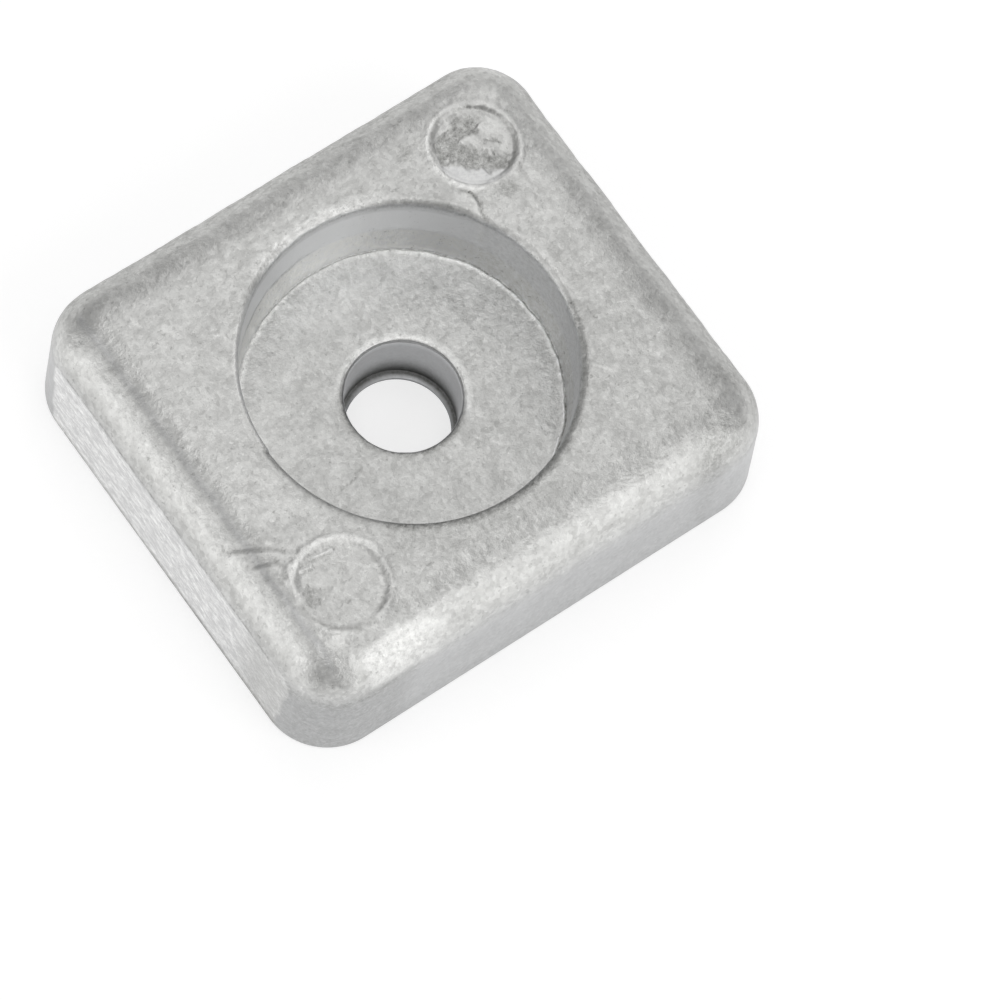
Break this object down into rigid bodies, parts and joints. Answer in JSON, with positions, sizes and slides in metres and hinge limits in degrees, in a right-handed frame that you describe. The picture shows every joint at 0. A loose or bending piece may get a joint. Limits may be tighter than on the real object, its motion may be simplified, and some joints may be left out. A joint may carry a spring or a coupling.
{
  "type": "sacrificial anode",
  "caption": "Small rounded block of cast zinc with a drafted soft-edged body, a central bolt well and a through hole, bolted down to protect nearby metal from corrosion.",
  "frame": {"origin": "where the axis of the bolt hole meets the flat back face", "axes": "+X along the longer side, away from the ground gate side; +Y along the shorter side; +Z along the bolt hole, out of the mouth of the well"},
  "size_m": [0.034, 0.0304, 0.0099],
  "materials": {
    "cast_zinc": "as-cast zinc alloy, satin and finely mottled, with one ground side"
  },
  "bodies": {
    "root": {"anode_block": "cast_zinc"}
  },
  "joints": []
}
